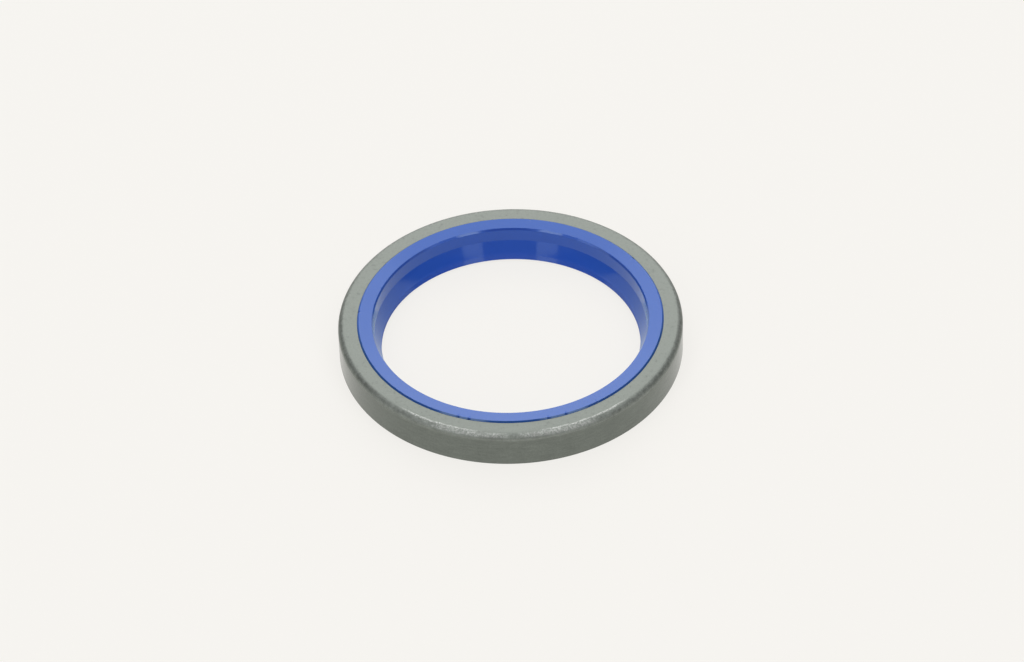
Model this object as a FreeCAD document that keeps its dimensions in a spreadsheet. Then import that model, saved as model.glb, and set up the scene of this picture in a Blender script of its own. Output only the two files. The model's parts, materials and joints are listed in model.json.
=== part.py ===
"""Steel-cased wiper ring for a 50 mm hydraulic rod, 65 mm housing bore and 7 mm case height.

Two pieces share one axis, +Z, with the origin at the middle of the case's open end.
The steel case is a drawn L section: an outer wall and a flange turned in at the top.
The polyurethane wiper fills the case, stands just proud of the flange and carries the lip.
Each piece is one section in the XZ plane, turned a full circle about Z.
All lengths are in millimetres.
"""

import FreeCAD, Part
import os
import Sketcher

SHEET = "Sizes"

# Driving dimensions: name, value, what it measures
SIZES = (
    ("rod_diameter", 50.0, "rod that the lip wipes"),
    ("section_width", 7.5, "radial width from the rod to the housing bore"),
    ("case_height", 7.0, "open end of the case to the top of its flange"),
    ("sheet_thickness", 1.0, "steel of the case, wall and flange"),
    ("corner_radius", 1.25, "outer corner that leads into the housing"),
    ("rim_bevel", 0.1, "deburred outer edge of the case's open end"),
    ("heel_rise", 0.22, "outer edge of the heel above the flange"),
    ("heel_bevel", 0.3, "radial width of the bevel round the heel"),
    ("heel_fall", 0.22, "how far the heel face dips towards the bore"),
    ("heel_width", 2.74, "radial width of the heel inside the flange"),
    ("mouth_bevel_width", 0.24, "radial width of the bevel at the top of the bore"),
    ("mouth_bevel_height", 0.38, "height of the same bevel"),
    ("mouth_clearance", 0.89, "rod to the top of the guide band"),
    ("throat_clearance", 0.7, "rod to the bottom of the guide band"),
    ("band_height", 2.34, "height of the guide band"),
    ("lip_interference", 0.5, "how far the free lip reaches inside the rod's surface"),
    ("lip_land", 1.2, "height of the flat that wipes the rod"),
    ("lip_lift", 0.4, "lower faces of the wiper above the open end of the case"),
    ("lip_foot", 0.9, "radial width of the lip at its tip"),
    ("lip_root", 2.2, "radial width from the lip's land to its root"),
    ("relief_depth", 3.0, "depth of the groove behind the lip"),
    ("relief_radius", 0.8, "rounding of that groove at the root of the lip"),
    ("relief_bevel", 0.6, "bevel of that groove at the case side"),
    ("jacket_thickness", 1.8, "polyurethane on the inside of the case wall"),
)


def size(name):
    """Text that reads one driving dimension from the sheet."""
    return f"{SHEET}.{name}"


# Radii of the ring, as text that the sheet works out
ROD = f"{size('rod_diameter')} / 2"
OUTER = f"{ROD} + {size('section_width')}"
CASE_INSIDE = f"{OUTER} - {size('sheet_thickness')}"
LIP = f"{ROD} - {size('lip_interference')}"
LIP_FOOT = f"{LIP} + {size('lip_foot')}"
LIP_ROOT = f"{LIP} + {size('lip_root')}"
THROAT = f"{ROD} + {size('throat_clearance')}"
MOUTH = f"{ROD} + {size('mouth_clearance')}"
HEEL_INNER = f"{MOUTH} + {size('mouth_bevel_width')}"
FLANGE_BORE = f"{HEEL_INNER} + {size('heel_width')}"
HEEL_OUTER = f"{FLANGE_BORE} - {size('heel_bevel')}"
JACKET = f"{CASE_INSIDE} - {size('jacket_thickness')}"

# Heights above the open end of the case
FLANGE_TOP = size("case_height")
FLANGE_UNDER = f"{FLANGE_TOP} - {size('sheet_thickness')}"
HEEL_TOP = f"{FLANGE_TOP} + {size('heel_rise')}"
HEEL_DIP = f"{HEEL_TOP} - {size('heel_fall')}"
MOUTH_HEIGHT = f"{HEEL_DIP} - {size('mouth_bevel_height')}"
THROAT_HEIGHT = f"{MOUTH_HEIGHT} - {size('band_height')}"
LIP_BOTTOM = size("lip_lift")
LAND_TOP = f"{LIP_BOTTOM} + {size('lip_land')}"
RELIEF_TOP = f"{LIP_BOTTOM} + {size('relief_depth')}"

# Sections as corners in order: name, radius, height
CASE_SECTION = (
    ("rim_outer", OUTER, "0"),
    ("corner", OUTER, FLANGE_TOP),
    ("flange_edge_top", FLANGE_BORE, FLANGE_TOP),
    ("flange_edge_under", FLANGE_BORE, FLANGE_UNDER),
    ("bend", CASE_INSIDE, FLANGE_UNDER),
    ("rim_inner", CASE_INSIDE, "0"),
)
WIPER_SECTION = (
    ("heel_foot", FLANGE_BORE, FLANGE_TOP),
    ("heel_outer", HEEL_OUTER, HEEL_TOP),
    ("heel_inner", HEEL_INNER, HEEL_DIP),
    ("mouth", MOUTH, MOUTH_HEIGHT),
    ("throat", THROAT, THROAT_HEIGHT),
    ("land_top", LIP, LAND_TOP),
    ("land_bottom", LIP, LIP_BOTTOM),
    ("lip_foot", LIP_FOOT, LIP_BOTTOM),
    ("relief_inner", LIP_ROOT, RELIEF_TOP),
    ("relief_outer", JACKET, RELIEF_TOP),
    ("jacket_inner", JACKET, LIP_BOTTOM),
    ("jacket_outer", CASE_INSIDE, LIP_BOTTOM),
    ("bend", CASE_INSIDE, FLANGE_UNDER),
    ("flange_edge_under", FLANGE_BORE, FLANGE_UNDER),
)

ORIGIN = (-1, 1)
HORIZONTAL_AXIS = -1
LINE_START = 1
LINE_END = 2
EDGE_SIZE = {"Fillet": "Radius", "Chamfer": "Size"}


def make_sheet(doc):
    """Spreadsheet with one row for each driving dimension."""
    sheet = doc.addObject("Spreadsheet::Sheet", SHEET)
    for row, (name, value, meaning) in enumerate(SIZES, start=1):
        sheet.set(f"A{row}", name)
        sheet.set(f"B{row}", str(value))
        sheet.setAlias(f"B{row}", name)
        sheet.set(f"C{row}", meaning)
    doc.recompute()
    return sheet


def origin_plane(body, role):
    """One of the body's own origin planes."""
    return next(item for item in body.Origin.OriginFeatures if item.Role == role)


def draw_section(body, sheet, corners):
    """Closed outline through the corners, each held at its radius and height."""
    sketch = body.newObject("Sketcher::SketchObject", f"{body.Name}Section")
    sketch.AttachmentSupport = [(origin_plane(body, "XZ_Plane"), "")]
    sketch.MapMode = "FlatFace"
    places = [
        FreeCAD.Vector(float(sheet.evalExpression(radius)), float(sheet.evalExpression(height)), 0)
        for name, radius, height in corners
    ]
    ends = places[1:] + places[:1]
    sketch.addGeometry([Part.LineSegment(a, b) for a, b in zip(places, ends)], False)
    for line in range(len(corners)):
        following = (line + 1) % len(corners)
        sketch.addConstraint(Sketcher.Constraint("Coincident", line, LINE_END, following, LINE_START))
    for line, (name, radius, height) in enumerate(corners):
        hold_corner(sketch, line, f"{name}_radius", "DistanceX", places[line].x, radius)
        if height == "0":
            on_base = Sketcher.Constraint("PointOnObject", line, LINE_START, HORIZONTAL_AXIS)
            sketch.addConstraint(on_base)
        else:
            hold_corner(sketch, line, f"{name}_height", "DistanceY", places[line].y, height)
    return sketch


def hold_corner(sketch, line, name, kind, value, expression):
    """Dimension from the origin to the start of a line, bound to the sheet."""
    dimension = Sketcher.Constraint(kind, *ORIGIN, line, LINE_START, value)
    index = sketch.addConstraint(dimension)
    sketch.renameConstraint(index, name)
    sketch.setExpression(f"Constraints.{name}", expression)


def turn_section(body, sketch):
    """Full turn of the section about the vertical axis."""
    ring = body.newObject("PartDesign::Revolution", f"{body.Name}Ring")
    ring.Profile = (sketch, [""])
    ring.ReferenceAxis = (sketch, ["V_Axis"])
    ring.Angle = 360.0
    sketch.Visibility = False
    body.Document.recompute()
    return ring


def finish_edges(body, sheet, kind, label, places, expression):
    """Fillet or chamfer on the circular edges that lie at the given radii and heights."""
    base = body.Tip
    names = [edge_at(base.Shape, sheet, radius, height) for radius, height in places]
    feature = body.newObject(f"PartDesign::{kind}", label)
    feature.Base = (base, names)
    feature.setExpression(EDGE_SIZE[kind], expression)
    body.Document.recompute()
    return feature


def edge_at(shape, sheet, radius, height):
    """Name of the circular edge at this radius and height."""
    wanted = (float(sheet.evalExpression(radius)), float(sheet.evalExpression(height)))
    tolerance = 1e-4
    for number, edge in enumerate(shape.Edges, start=1):
        if not isinstance(edge.Curve, Part.Circle):
            continue
        found = (edge.Curve.Radius, edge.Curve.Center.z)
        if all(abs(a - b) < tolerance for a, b in zip(found, wanted)):
            return f"Edge{number}"
    raise RuntimeError(f"no edge of radius {wanted[0]:.3f} at height {wanted[1]:.3f}")


def make_body(doc, name, label):
    """Body that stands at the ring's own origin."""
    body = doc.addObject("PartDesign::Body", name)
    body.Label = label
    body.Placement = FreeCAD.Placement()
    return body


def make_steel_case(doc, sheet):
    """Drawn case: the wall, the flange, its rounded corner and the deburred rim."""
    body = make_body(doc, "SteelCase", "steel_case")
    turn_section(body, draw_section(body, sheet, CASE_SECTION))
    finish_edges(body, sheet, "Fillet", "CaseCorner", [(OUTER, FLANGE_TOP)], size("corner_radius"))
    finish_edges(body, sheet, "Chamfer", "CaseRim", [(OUTER, "0")], size("rim_bevel"))
    return body


def make_wiper_ring(doc, sheet):
    """Moulded wiper: heel, guide band, cone down to the lip and the groove behind it."""
    body = make_body(doc, "WiperRing", "wiper_ring")
    turn_section(body, draw_section(body, sheet, WIPER_SECTION))
    finish_edges(body, sheet, "Fillet", "LipRoot", [(LIP_ROOT, RELIEF_TOP)], size("relief_radius"))
    finish_edges(body, sheet, "Chamfer", "ReliefSide", [(JACKET, RELIEF_TOP)], size("relief_bevel"))
    return body


def check_document(doc, bodies):
    """Stop if any step failed or a piece isn't one sound solid."""
    for item in doc.Objects:
        if {"Invalid", "Error"} & set(item.State):
            raise RuntimeError(f"{item.Label} failed: {item.State}")
    for body in bodies:
        shape = body.Shape
        if shape.isNull() or not shape.isValid() or len(shape.Solids) != 1:
            raise RuntimeError(f"{body.Label} isn't one valid solid")


def write_parts(bodies):
    """One STEP file for each piece, named after it."""
    os.makedirs("parts", exist_ok=True)
    for body in bodies:
        body.Shape.exportStep(f"parts/{body.Label}.step")
        box = body.Shape.BoundBox
        print(f"{body.Label}: {body.Shape.Volume:.1f} mm3, height {box.ZMin:.2f} to {box.ZMax:.2f}")


def main():
    doc = FreeCAD.newDocument("WiperSeal")
    sheet = make_sheet(doc)
    bodies = [make_steel_case(doc, sheet), make_wiper_ring(doc, sheet)]
    doc.recompute()
    check_document(doc, bodies)
    write_parts(bodies)


main()
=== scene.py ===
"""Looks of the steel-cased wiper ring: satin steel, glossy blue polyurethane, pale floor and studio light.

Both pieces are turned again from their own sections, finer than the frame's meshes, with rounded
edges, drawing marks and small nicks. Lengths are in metres unless a comment says otherwise. A place
round the ring is in degrees from the camera's side, with 90 at the right.
"""

import json
import math

import bpy
import numpy as np
from mathutils import Matrix, Vector

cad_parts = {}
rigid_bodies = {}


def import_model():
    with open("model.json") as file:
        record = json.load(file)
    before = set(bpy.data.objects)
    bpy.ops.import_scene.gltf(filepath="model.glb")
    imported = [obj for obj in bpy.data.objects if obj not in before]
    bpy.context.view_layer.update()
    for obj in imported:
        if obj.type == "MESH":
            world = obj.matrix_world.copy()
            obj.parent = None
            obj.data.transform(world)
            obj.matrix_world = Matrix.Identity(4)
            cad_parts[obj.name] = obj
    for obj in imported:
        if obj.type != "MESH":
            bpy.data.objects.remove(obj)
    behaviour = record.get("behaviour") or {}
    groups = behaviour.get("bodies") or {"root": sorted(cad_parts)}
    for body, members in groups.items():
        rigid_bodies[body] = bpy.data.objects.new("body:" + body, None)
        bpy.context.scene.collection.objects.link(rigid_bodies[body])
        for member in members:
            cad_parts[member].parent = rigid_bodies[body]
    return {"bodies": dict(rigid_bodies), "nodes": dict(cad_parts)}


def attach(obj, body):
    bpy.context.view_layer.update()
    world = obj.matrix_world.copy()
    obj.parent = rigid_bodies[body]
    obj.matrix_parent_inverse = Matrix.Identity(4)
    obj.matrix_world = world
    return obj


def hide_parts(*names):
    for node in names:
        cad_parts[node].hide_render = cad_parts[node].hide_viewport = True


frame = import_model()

MM = 0.001

# Width of the image in pixels and of the camera's sensor in millimetres
IMAGE_WIDTH = 1024
SENSOR_MM = 36.0

# Camera fitted to the ring's circles
CAMERA_DISTANCE = 0.8
CAMERA_ELEVATION = math.radians(42.10)
CAMERA_ROLL = math.radians(1.81)
CAMERA_AIM = Vector((0.25, 0.0, 3.71)) * MM
FOCAL_PX = 4223.3

# Angle of the camera's side as it is counted from +X, in degrees
CAMERA_SIDE = -90

# Mesh of the turned pieces. A rounding takes at most the trim share of the run beside it.
SEGMENTS = 600
RUN_STEP = 1.0 * MM
EDGE_ROUND = 0.06 * MM
EDGE_STEPS = 4
SHARP_TURN = math.radians(15)
SUPPORT = 0.02 * MM
TRIM_SHARE = 0.4
SEAM_TOLERANCE = 1e-6
SEAM_DIGITS = 6

# Rounding of the heel's edge at the bore, whose corners lie within a radius and above a height
HEEL_EDGE_ROUND = 0.08 * MM
HEEL_EDGE_WITHIN = 26.5 * MM
HEEL_EDGE_ABOVE = 6.95 * MM

# Nicks in the foot of the heel: place round the ring, then half width and depth in millimetres
HEEL_NICKS = (
    (-20.8, 0.16, 0.20),
    (-16.5, 0.14, 0.22),
    (13.0, 0.16, 0.20),
    (19.8, 0.15, 0.22),
    (32.5, 0.14, 0.18),
    (-96.0, 0.15, 0.18),
    (124.0, 0.16, 0.20),
    (171.0, 0.14, 0.16),
)
HEEL_FOOT = (28.78 * MM, 7.06 * MM)
NICK_REACH = 0.22 * MM
NICKS_ABOVE = 6.5 * MM

# Closer steps of the mesh round each nick: how far they reach to each side, in degrees, and how many
NICK_SPAN = 0.9
NICK_STEPS = 19

# The lip's flat lies within a radius and below a height. Its shading is turned upwards by a slope
# that is a little steeper than the cone above it.
LIP_FLAT_WITHIN = 24.505 * MM
LIP_FLAT_BELOW = 1.65 * MM
LIP_LEAN = 0.475

# Stretches of the case's rounded corner with a painted highlight, speckled like scuffs: place round the ring
# and half length in degrees
SHOULDER_HIGHLIGHTS = ((-26, 17), (25, 19))
CORNER_HIGHLIGHTS = ((-15.5, 15), (15, 16))

# Stretches of the bevel at the mouth with a painted highlight, paler than the rest of it, in the same way
MOUTH_HIGHLIGHTS = ((155, 19), (-157, 17))

# Steps of the steel, in millimetres: each mask is 0 at its first number and 1 at its second
WALL_HEIGHTS = (6.6, 5.8)
CORNER_RADII = (31.3, 31.9)
CORNER_HEIGHTS = (5.3, 6.5)
SHOULDER_INNER_RADII = (31.10, 31.35)
SHOULDER_OUTER_RADII = (31.75, 31.45)
# Reach of the painted highlight on the lower part of the corner
CORNER_HIGHLIGHT_RADII = (31.4, 31.8)
CORNER_HIGHLIGHT_HEIGHTS = (6.30, 6.60)

# Steps of the polyurethane, in the same way; the painted shade in the foot of the heel is darker only on the
# camera's side
BORE_RADII = (26.2, 25.9)
FOOT_SHADE_INNER_RADII = (28.50, 28.62)
FOOT_SHADE_OUTER_RADII = (29.2, 29.0)
FOOT_SHADE_FRONT_Y = (4.0, -8.0)
BEVEL_RADII = (26.14, 26.08)
BEVEL_HEIGHTS = (6.58, 6.66)
# Reach of the painted reflection that lightens the lip towards its edge
LIP_REFLECTION_HEIGHTS = (2.3, 1.1)

FLANGE_COLOUR = (0.189, 0.205, 0.187)
# The wall is darker than the flange: painted shade
WALL_SHADED_COLOUR = (0.171, 0.188, 0.170)
CORNER_COLOUR = (0.244, 0.264, 0.243)
# Colour of the painted highlight, speckled like scuffs, on the corner's front stretches
SCUFF_HIGHLIGHT_COLOUR = (0.50, 0.51, 0.49)
PIT_COLOUR = (0.105, 0.116, 0.106)

HEEL_COLOUR = (0.041, 0.103, 0.455)
CONE_COLOUR = (0.019, 0.073, 0.415)
# Lighter towards the lip's edge: painted reflection
LIP_REFLECTION_COLOUR = (0.034, 0.092, 0.465)
# Painted shade in the foot of the heel
FOOT_SHADE_COLOUR = (0.013, 0.052, 0.215)
# Painted shade on the bevel at the mouth
MOUTH_SHADE_COLOUR = (0.019, 0.058, 0.330)

# Evenness is the share of the floor's colour that is the same in light and in shadow
BACKGROUND = (0.917, 0.900, 0.866)
FLOOR_HALF = 4.0
FLOOR_EVENNESS = 0.86
WORLD_STRENGTH = 0.24


def clear_defaults():
    """Nothing but the frame stays in the scene."""
    kept = set(frame["nodes"].values()) | set(frame["bodies"].values())
    for item in list(bpy.data.objects):
        if item not in kept:
            bpy.data.objects.remove(item)


def section_of(node):
    """Closed outline of a ring in the half plane y = 0, x > 0: points (radius, height) in order."""
    mesh = frame["nodes"][node].data
    on_seam = {}
    for vertex in mesh.vertices:
        x, y, z = vertex.co
        if x > 0 and abs(y) < SEAM_TOLERANCE:
            on_seam[vertex.index] = (round(x, SEAM_DIGITS), round(z, SEAM_DIGITS))
    joined = {}
    for edge in mesh.edges:
        if all(index in on_seam for index in edge.vertices):
            a, b = (on_seam[index] for index in edge.vertices)
            if a != b:
                joined.setdefault(a, set()).add(b)
                joined.setdefault(b, set()).add(a)
    start = max(joined)
    loop = [start]
    following = max(joined[start], key=lambda point: point[1])
    while following != start:
        loop.append(following)
        following = next(point for point in joined[following] if point != loop[-2])
    return [Vector(point) for point in loop]


def rounded(loop):
    """The outline with each sharp corner rounded and each long run divided."""
    outline = []
    for before, corner, after in zip(loop[-1:] + loop[:-1], loop, loop[1:] + loop[:1]):
        arriving = (corner - before).normalized()
        leaving = (after - corner).normalized()
        turn = arriving.angle(leaving)
        if turn < SHARP_TURN:
            outline.append(corner)
            continue
        at_heel_edge = corner.y > HEEL_EDGE_ABOVE and corner.x < HEEL_EDGE_WITHIN
        radius = HEEL_EDGE_ROUND if at_heel_edge else EDGE_ROUND
        trim = radius * math.tan(turn / 2)
        trim = min(trim, TRIM_SHARE * (corner - before).length, TRIM_SHARE * (after - corner).length)
        first, last = corner - arriving * trim, corner + leaving * trim
        outline.append(first - arriving * SUPPORT)
        for step in range(EDGE_STEPS + 1):
            t = step / EDGE_STEPS
            a = first.lerp(corner, t)
            outline.append(a.lerp(corner.lerp(last, t), t))
        outline.append(last + leaving * SUPPORT)
    divided = []
    for point, following in zip(outline, outline[1:] + outline[:1]):
        count = max(1, math.ceil((following - point).length / RUN_STEP))
        divided.extend(point.lerp(following, step / count) for step in range(count))
    return divided


def ring_angles(fine_at):
    """Even steps round the ring, with closer ones round each given angle."""
    even = np.linspace(0, 2 * math.pi, SEGMENTS, endpoint=False)
    offsets = np.radians(np.linspace(-NICK_SPAN, NICK_SPAN, NICK_STEPS))
    close = [math.radians(angle) + offsets for angle in fine_at]
    angles = np.concatenate([even, *close]) % (2 * math.pi)
    return np.unique(np.round(angles, 5))


def turned(name, node, shape, fine_at=()):
    """Mesh of a ring turned from its node's section, with shape moving its points a little."""
    outline = np.array([tuple(point) for point in rounded(section_of(node))])
    angles = ring_angles(fine_at)
    radius, height = shape(outline[:, 0][None, :], outline[:, 1][None, :], angles[:, None])
    radius, height = np.broadcast_arrays(radius, height)
    points = np.stack([radius * np.cos(angles)[:, None], radius * np.sin(angles)[:, None], height], axis=2)
    count = len(outline)
    turns = len(angles)
    faces = []
    for i in range(turns):
        near, far = i * count, (i + 1) % turns * count
        for j in range(count):
            k = (j + 1) % count
            faces.append((near + j, near + k, far + k, far + j))
    mesh = bpy.data.meshes.new(name)
    mesh.from_pydata(points.reshape(-1, 3).tolist(), [], faces)
    mesh.polygons.foreach_set("use_smooth", [True] * len(mesh.polygons))
    mesh.update()
    piece = bpy.data.objects.new(name, mesh)
    bpy.context.scene.collection.objects.link(piece)
    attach(piece, "root")
    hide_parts(node)
    return piece


def unchanged(radius, height, angle):
    """The section as it is, all the way round."""
    return radius + 0 * angle, height + 0 * angle


def nicked(radius, height, angle):
    """The wiper's section with small nicks pressed into the foot of its heel."""
    foot_radius, foot_height = HEEL_FOOT
    near = np.exp(-(((radius - foot_radius) ** 2 + (height - foot_height) ** 2) / NICK_REACH ** 2))
    near = near * (height > NICKS_ABOVE)
    depth = 0 * angle
    for place, half_width, deep in HEEL_NICKS:
        along = (angle - math.radians(place + CAMERA_SIDE)) % (2 * math.pi)
        along = np.minimum(along, 2 * math.pi - along) * foot_radius
        depth = depth + deep * MM * np.exp(-((along / (half_width * MM)) ** 2))
    return radius - depth * near, height - depth * near


class Nodes:
    """Short way to write a node material."""

    def __init__(self, name):
        self.material = bpy.data.materials.new(name)
        self.material.use_nodes = True
        self.tree = self.material.node_tree
        self.tree.nodes.clear()

    def add(self, kind, inputs=None, **settings):
        node = self.tree.nodes.new(kind)
        for key, value in settings.items():
            setattr(node, key, value)
        for key, value in (inputs or {}).items():
            self.put(value, node.inputs[key])
        return node

    def put(self, value, socket):
        if isinstance(value, bpy.types.NodeSocket):
            self.tree.links.new(value, socket)
        else:
            socket.default_value = value

    def math(self, operation, *values, clamp=False):
        node = self.add("ShaderNodeMath", operation=operation, use_clamp=clamp)
        for socket, value in zip(node.inputs, values):
            self.put(value, socket)
        return node.outputs[0]

    def times(self, vector, factors):
        """Product of two vectors or colours, one number at a time."""
        return self.add("ShaderNodeVectorMath", {0: vector, 1: factors}, operation="MULTIPLY").outputs[0]

    def radius(self, place):
        """Distance from the ring's axis."""
        across = self.times(place, (1, 1, 0))
        return self.add("ShaderNodeVectorMath", {0: across}, operation="LENGTH").outputs["Value"]

    def noise(self, place, scale, detail, roughness=0.5):
        """Grey noise with the given number of cells in a metre."""
        inputs = {"Vector": place, "Scale": scale, "Detail": detail, "Roughness": roughness}
        return self.add("ShaderNodeTexNoise", inputs).outputs["Fac"]

    def varied(self, base, noise, amount):
        """Base with amount of the noise round it."""
        return self.math("MULTIPLY_ADD", self.math("SUBTRACT", noise, 0.5), amount, base)

    def ramp(self, value, low, high):
        """Smooth step from 0 at low to 1 at high."""
        node = self.add("ShaderNodeMapRange", {0: value, 1: low, 2: high}, interpolation_type="SMOOTHSTEP")
        return node.outputs[0]

    def step(self, value, ends):
        """Smooth step of a length, between ends in millimetres."""
        return self.ramp(value, ends[0] * MM, ends[1] * MM)

    def stretches(self, place, listed):
        """1 along the listed stretches of the ring, falling smoothly to 0 at their ends."""
        part = self.add("ShaderNodeSeparateXYZ", {0: place}).outputs
        azimuth = self.math("ARCTAN2", part["X"], self.math("MULTIPLY", part["Y"], -1.0))
        total = 0.0
        for middle, half in listed:
            near = self.math("COSINE", self.math("SUBTRACT", azimuth, math.radians(middle)))
            along = self.ramp(near, math.cos(math.radians(half)), math.cos(math.radians(half / 2)))
            total = self.math("MAXIMUM", along, total)
        return total

    def value_between(self, factor, first, second):
        return self.math("MULTIPLY_ADD", factor, second - first, first)

    def blend(self, factor, first, second):
        """Mix of two colours."""
        node = self.add("ShaderNodeMix", {0: factor}, data_type="RGBA")
        for value, socket in ((first, node.inputs[6]), (second, node.inputs[7])):
            self.put((*value, 1) if isinstance(value, tuple) else value, socket)
        return node.outputs[2]

    def finish(self, shader):
        self.add("ShaderNodeOutputMaterial", {"Surface": shader})
        return self.material


def steel_material():
    """Satin drawn steel: cloudy grain, rings left by drawing, a corner with a painted highlight speckled like
    scuffs on its front stretches, and a wall darkened with painted shade.
    """
    n = Nodes("satin_steel")
    place = n.add("ShaderNodeTexCoord").outputs["Object"]
    radius = n.radius(place)
    height = n.add("ShaderNodeSeparateXYZ", {0: place}).outputs["Z"]
    wall = n.step(height, WALL_HEIGHTS)
    corner = n.math("MULTIPLY", n.step(radius, CORNER_RADII), n.step(height, CORNER_HEIGHTS))

    grain = n.noise(place, 3000, 4, 0.6)
    cloud = n.noise(place, 210, 5)
    streak = n.noise(n.times(place, (0.03, 0.03, 1.0)), 5200, 4)
    soft_streak = n.noise(n.times(place, (0.22, 0.22, 1.0)), 1900, 3, 0.6)
    fleck = n.ramp(n.noise(place, 3000, 4, 0.9), 0.44, 0.61)

    # The painted highlight is a speckled wandering line on the shoulder and a rubbed stretch below it, on the
    # camera's side of the ring
    wander = n.varied(radius, n.noise(place, 420, 3), 0.5 * MM)
    shoulder_highlight = n.math("MULTIPLY", n.step(wander, SHOULDER_INNER_RADII), n.step(wander, SHOULDER_OUTER_RADII))
    shoulder_highlight = n.math("MULTIPLY", shoulder_highlight, n.stretches(place, SHOULDER_HIGHLIGHTS))
    front_highlight = n.stretches(place, CORNER_HIGHLIGHTS)
    rubbed_highlight = n.math("MULTIPLY", n.step(radius, CORNER_HIGHLIGHT_RADII), n.step(height, CORNER_HIGHLIGHT_HEIGHTS))
    rubbed_highlight = n.math("MULTIPLY", rubbed_highlight, n.math("MULTIPLY", front_highlight, 0.85))
    scuff_highlight = n.math("MULTIPLY", n.math("MAXIMUM", shoulder_highlight, rubbed_highlight), n.value_between(fleck, 0.12, 1.0))

    tone = n.varied(1.0, grain, 0.42)
    tone = n.varied(tone, cloud, 0.24)
    blotch = n.math("MULTIPLY", n.math("SUBTRACT", n.noise(place, 1100, 4, 0.75), 0.51), corner)
    tone = n.math("MULTIPLY_ADD", blotch, n.value_between(front_highlight, 1.35, 0.7), tone)
    drawn = n.varied(n.math("SUBTRACT", soft_streak, 0.5), streak, 0.6)
    tone = n.math("MULTIPLY_ADD", n.math("MULTIPLY", drawn, wall), 0.32, tone)
    # The wall's darker colour is painted shade
    colour = n.blend(wall, FLANGE_COLOUR, WALL_SHADED_COLOUR)
    colour = n.blend(corner, colour, CORNER_COLOUR)
    colour = n.blend(scuff_highlight, colour, SCUFF_HIGHLIGHT_COLOUR)
    pits = n.math("MULTIPLY", n.ramp(n.noise(place, 1500, 4, 0.7), 0.56, 0.68), n.math("SUBTRACT", 1.0, wall))
    colour = n.blend(n.math("MULTIPLY", pits, 0.55), colour, PIT_COLOUR)

    rough = n.value_between(wall, 0.42, 0.20)
    rough = n.math("MULTIPLY_ADD", corner, 0.14, rough)
    rough = n.varied(rough, cloud, 0.12)
    relief = n.math("MULTIPLY_ADD", n.math("MULTIPLY", streak, wall), 0.35, grain)
    relief = n.math("MULTIPLY_ADD", scuff_highlight, -0.8, relief)
    bump = n.add("ShaderNodeBump", {"Height": relief, "Strength": 0.5, "Distance": 0.000012})
    shader = n.add(
        "ShaderNodeBsdfPrincipled",
        {
            "Base Color": n.times(colour, tone),
            "Metallic": 1.0,
            "Roughness": rough,
            "Normal": bump.outputs[0],
        },
    )
    return n.finish(shader.outputs[0])


def polyurethane_material(name, lean=0.0):
    """Moulded blue polyurethane, deeper in colour inside the bore where less light reaches it, with painted
    shade in the foot of the heel and on the bevel at the mouth, painted highlights on stretches of that
    bevel, and a painted reflection that lightens the lip towards its edge.

    Lean turns the shading of a flat upwards, as if it were slightly worn towards the cone above it.
    """
    n = Nodes(name)
    place = n.add("ShaderNodeTexCoord").outputs["Object"]
    radius = n.radius(place)
    part = n.add("ShaderNodeSeparateXYZ", {0: place}).outputs
    # Painted shade in the foot of the heel, fading away from the camera's side
    foot_shade = n.math("MULTIPLY", n.step(radius, FOOT_SHADE_INNER_RADII), n.step(radius, FOOT_SHADE_OUTER_RADII))
    foot_shade = n.math("MULTIPLY", foot_shade, n.step(part["Y"], FOOT_SHADE_FRONT_Y))
    bevel = n.math("MULTIPLY", n.step(radius, BEVEL_RADII), n.step(part["Z"], BEVEL_HEIGHTS))
    # Painted highlights on stretches of the bevel at the mouth, which take the heel's colour there
    mouth_highlight = n.math("MULTIPLY", bevel, n.stretches(place, MOUTH_HIGHLIGHTS))
    # The rest of the bevel at the mouth gets painted shade
    mouth_shade = n.math("SUBTRACT", bevel, mouth_highlight)
    bore = n.math("SUBTRACT", n.step(radius, BORE_RADII), mouth_highlight, clamp=True)
    # Painted reflection, lighter towards the lip's edge
    lip_reflection = n.step(part["Z"], LIP_REFLECTION_HEIGHTS)

    tone = n.varied(1.0, n.noise(place, 120, 4), 0.08)
    tone = n.varied(tone, n.noise(place, 2600, 3), 0.06)
    colour = n.blend(bore, HEEL_COLOUR, n.blend(lip_reflection, CONE_COLOUR, LIP_REFLECTION_COLOUR))
    colour = n.times(colour, tone)
    colour = n.blend(foot_shade, colour, FOOT_SHADE_COLOUR)
    colour = n.blend(mouth_shade, colour, MOUTH_SHADE_COLOUR)
    rough = n.math("MULTIPLY_ADD", n.noise(place, 700, 3), 0.06, 0.06)
    facing = n.add("ShaderNodeNewGeometry").outputs["Normal"]
    facing = n.add("ShaderNodeVectorMath", {0: facing, 1: (0.0, 0.0, lean)}, operation="ADD").outputs[0]
    facing = n.add("ShaderNodeVectorMath", {0: facing}, operation="NORMALIZE").outputs[0]
    bump = n.add(
        "ShaderNodeBump",
        {"Height": n.noise(place, 1100, 3), "Strength": 0.25, "Distance": 0.000006, "Normal": facing},
    )
    shader = n.add(
        "ShaderNodeBsdfPrincipled",
        {
            "Base Color": colour,
            "Roughness": rough,
            "IOR": 1.5,
            "Specular IOR Level": 0.42,
            "Specular Tint": (0.80, 1.0, 0.98, 1.0),
            "Sheen Weight": 0.12,
            "Sheen Roughness": 0.55,
            "Sheen Tint": (0.35, 1.0, 0.85, 1.0),
            "Normal": bump.outputs[0],
        },
    )
    return n.finish(shader.outputs[0])


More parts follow.
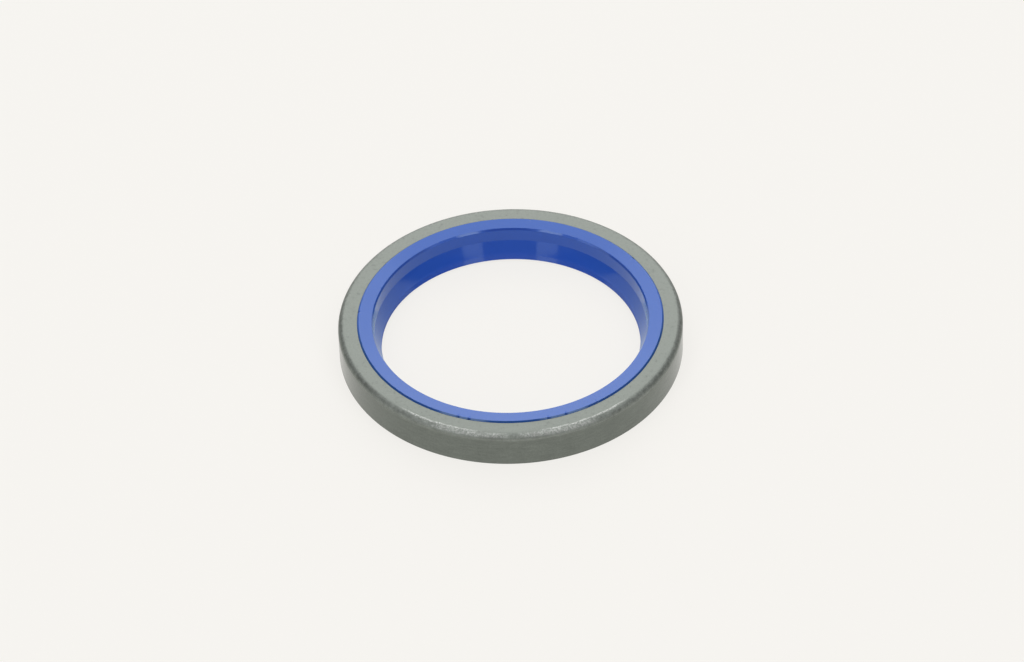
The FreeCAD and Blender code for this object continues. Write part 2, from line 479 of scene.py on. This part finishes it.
def floor_material():
    """Pale floor that stays even but keeps a soft shadow."""
    n = Nodes("pale_floor")
    path = n.add("ShaderNodeLightPath")
    seen = n.math("MAXIMUM", path.outputs["Is Camera Ray"], path.outputs["Is Glossy Ray"])
    seen = n.math("MAXIMUM", seen, path.outputs["Is Transmission Ray"])
    even = n.math("MULTIPLY", seen, FLOOR_EVENNESS)
    diffuse = n.add("ShaderNodeBsdfDiffuse", {"Color": (*BACKGROUND, 1)})
    glow = n.add("ShaderNodeEmission", {"Color": (*BACKGROUND, 1), "Strength": 1.0})
    mix = n.add("ShaderNodeMixShader", {0: even})
    n.put(diffuse.outputs[0], mix.inputs[1])
    n.put(glow.outputs[0], mix.inputs[2])
    return n.finish(mix.outputs[0])


def direction(azimuth, elevation):
    """Unit vector towards a lamp at a place round the ring and an elevation, both in degrees."""
    a, e = math.radians(azimuth), math.radians(elevation)
    return Vector((math.sin(a) * math.cos(e), -math.cos(a) * math.cos(e), math.sin(e)))


def softbox(name, azimuth, elevation, wide, high, radiance, lean=0, distance=1.5):
    """Rectangular lamp of even radiance that faces the ring. Wide, high and lean are in degrees too."""
    lamp = bpy.data.lights.new(name, "AREA")
    lamp.shape = "RECTANGLE"
    lamp.size = 2 * distance * math.tan(math.radians(wide / 2))
    lamp.size_y = 2 * distance * math.tan(math.radians(high / 2))
    lamp.energy = radiance * math.pi * lamp.size * lamp.size_y
    item = bpy.data.objects.new(name, lamp)
    bpy.context.scene.collection.objects.link(item)
    towards = direction(azimuth, elevation)
    facing = towards.to_track_quat("Z", "Y").to_matrix() @ Matrix.Rotation(math.radians(lean), 3, "Z")
    item.matrix_world = Matrix.Translation(towards * distance) @ facing.to_4x4()


def make_world():
    """Dim even surroundings."""
    world = bpy.data.worlds.new("studio")
    world.use_nodes = True
    background = world.node_tree.nodes["Background"]
    background.inputs["Color"].default_value = (1, 1, 1, 1)
    background.inputs["Strength"].default_value = WORLD_STRENGTH
    bpy.context.scene.world = world


def make_floor():
    """Square of floor under the ring."""
    half = FLOOR_HALF
    mesh = bpy.data.meshes.new("floor")
    corners = [(-half, -half, 0), (half, -half, 0), (half, half, 0), (-half, half, 0)]
    mesh.from_pydata(corners, [], [(0, 1, 2, 3)])
    mesh.materials.append(floor_material())
    floor = bpy.data.objects.new("floor", mesh)
    bpy.context.scene.collection.objects.link(floor)


def make_lamps():
    """Panels behind and above the ring, and at each side a strip, its bright core, a box and a low panel."""
    softbox("far_foot", 180, 12, 56, 26, 1.2)
    softbox("far_low", 180, 33, 60, 12, 2.4)
    softbox("far_middle", 180, 43, 60, 8, 2.1)
    softbox("far_high", 180, 55, 54, 16, 1.45)
    softbox("top", 180, 86, 40, 44, 1.5)
    softbox("strip_left", -33, 24, 17, 52, 1.15, lean=9)
    softbox("strip_right", 30, 24, 16, 52, 1.15, lean=-9)
    softbox("core_left", -34, 24, 16, 11, 2.2, distance=1.45)
    softbox("core_right", 31, 24, 15, 11, 2.2, distance=1.45)
    softbox("box_left", -48, 56, 20, 23, 2.7)
    softbox("box_right", 48, 56, 20, 23, 2.7)
    softbox("low_left", -69, 12, 26, 20, 1.2)
    softbox("low_right", 67, 12, 26, 20, 0.5)


def make_camera():
    """Camera at the photograph's view."""
    camera = bpy.data.cameras.new("camera")
    camera.sensor_width = SENSOR_MM
    camera.lens = FOCAL_PX * SENSOR_MM / IMAGE_WIDTH
    camera.clip_start = 0.05
    camera.clip_end = 20.0
    item = bpy.data.objects.new("camera", camera)
    bpy.context.scene.collection.objects.link(item)
    place = CAMERA_DISTANCE * Vector((0, -math.cos(CAMERA_ELEVATION), math.sin(CAMERA_ELEVATION)))
    forward = (CAMERA_AIM - place).normalized()
    right = forward.cross(Vector((0, 0, 1))).normalized()
    up = right.cross(forward)
    rolled_right = math.cos(CAMERA_ROLL) * right - math.sin(CAMERA_ROLL) * up
    rolled_up = math.sin(CAMERA_ROLL) * right + math.cos(CAMERA_ROLL) * up
    rotation = Matrix((rolled_right, rolled_up, -forward)).transposed()
    item.matrix_world = Matrix.Translation(place) @ rotation.to_4x4()
    bpy.context.scene.camera = item


clear_defaults()
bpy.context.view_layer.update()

case = turned("drawn_case", "steel_case", unchanged)
case.data.materials.append(steel_material())

nick_angles = [place + CAMERA_SIDE for place, half_width, deep in HEEL_NICKS]
wiper = turned("moulded_wiper", "wiper_ring", nicked, nick_angles)
wiper.data.materials.append(polyurethane_material("blue_polyurethane"))
wiper.data.materials.append(polyurethane_material("trimmed_lip", LIP_LEAN))
for face in wiper.data.polygons:
    on_flat = Vector(face.center[:2]).length < LIP_FLAT_WITHIN and face.center.z < LIP_FLAT_BELOW
    face.material_index = 1 if on_flat else 0

make_floor()
make_world()
make_lamps()
make_camera()
bpy.context.scene.view_settings.view_transform = "Standard"
